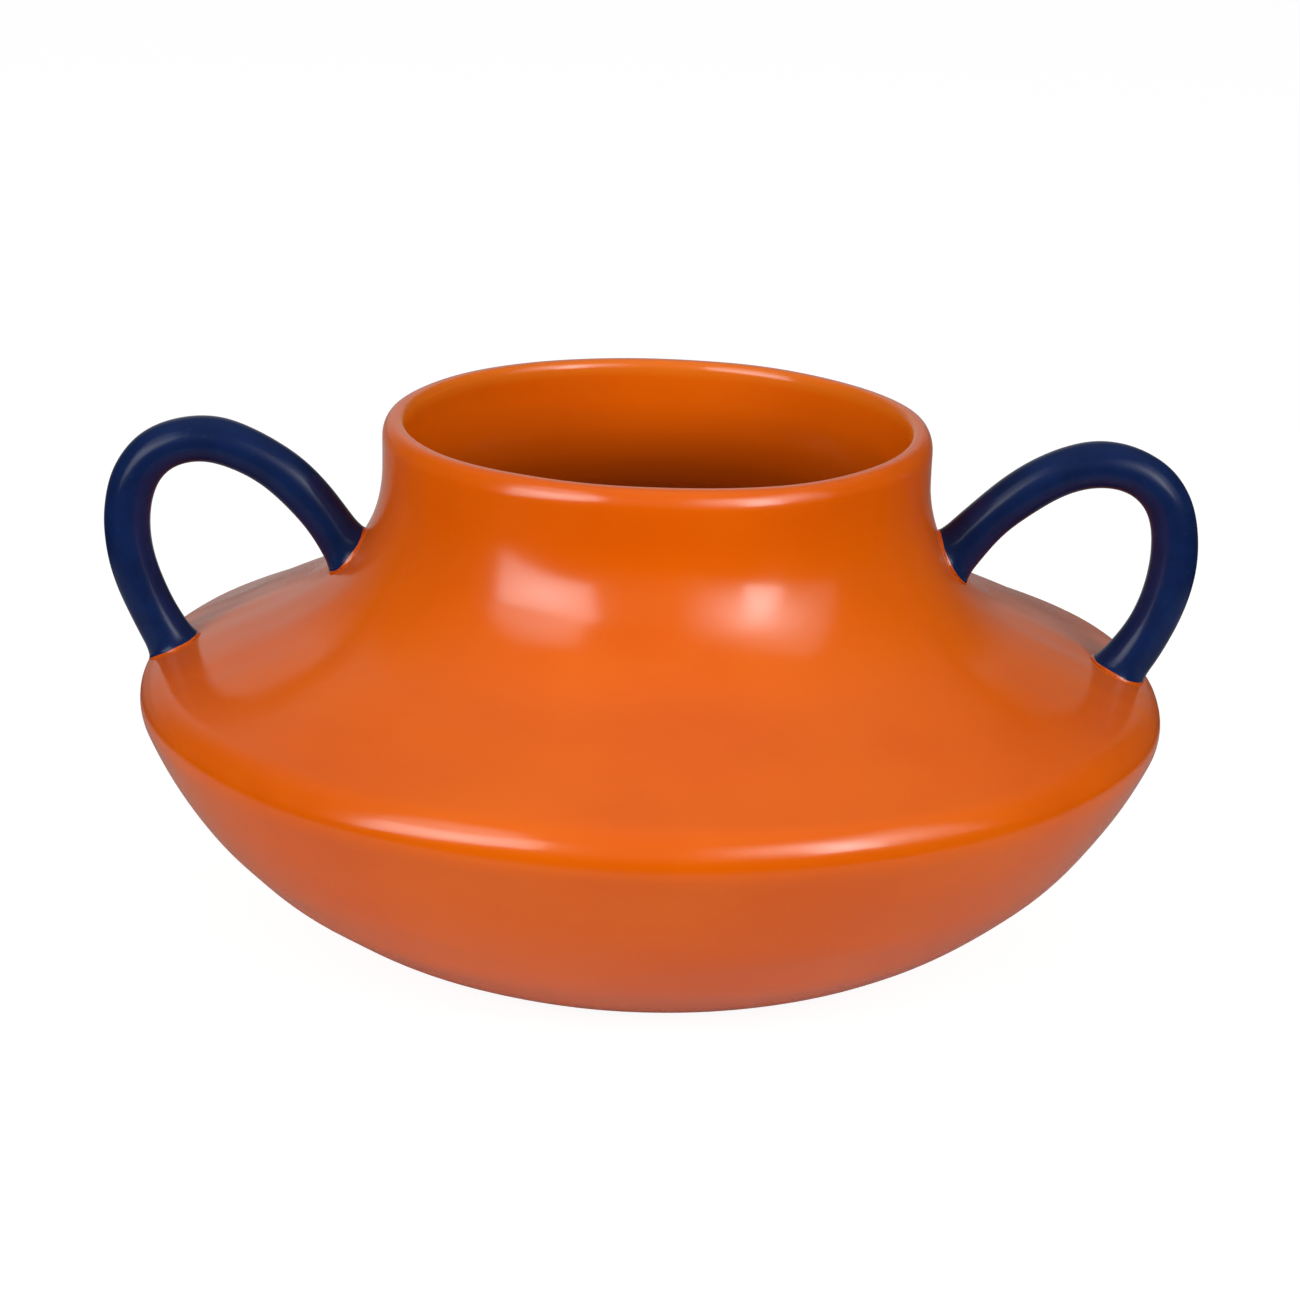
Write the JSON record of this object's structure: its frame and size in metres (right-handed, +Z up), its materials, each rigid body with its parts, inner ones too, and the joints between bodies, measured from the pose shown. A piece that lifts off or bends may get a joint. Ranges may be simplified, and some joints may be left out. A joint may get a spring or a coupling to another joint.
{
  "type": "two-handled vase",
  "caption": "Squat round clay vase with a wide open neck, a rounded belly edge, a sloping shoulder and a loop handle on each side, for holding flowers or branches.",
  "frame": {"origin": "centre of the foot, on the surface that the vase stands on", "axes": "+Z up along the axis of the vessel, +X through the right handle, -X through the left handle, -Y towards the viewer of the picture"},
  "size_m": [0.278, 0.26, 0.134],
  "materials": {
    "orange_glaze": "satin glaze, warm orange",
    "navy_glaze": "satin glaze, navy blue"
  },
  "bodies": {
    "root": {"lower_bowl": "orange_glaze", "upper_body": "orange_glaze", "belly_seam_coil": "orange_glaze", "left_handle": "navy_glaze", "right_handle": "navy_glaze", "left_inner_root_collar": "orange_glaze", "left_outer_root_collar": "orange_glaze", "right_inner_root_collar": "orange_glaze", "right_outer_root_collar": "orange_glaze"}
  },
  "joints": []
}
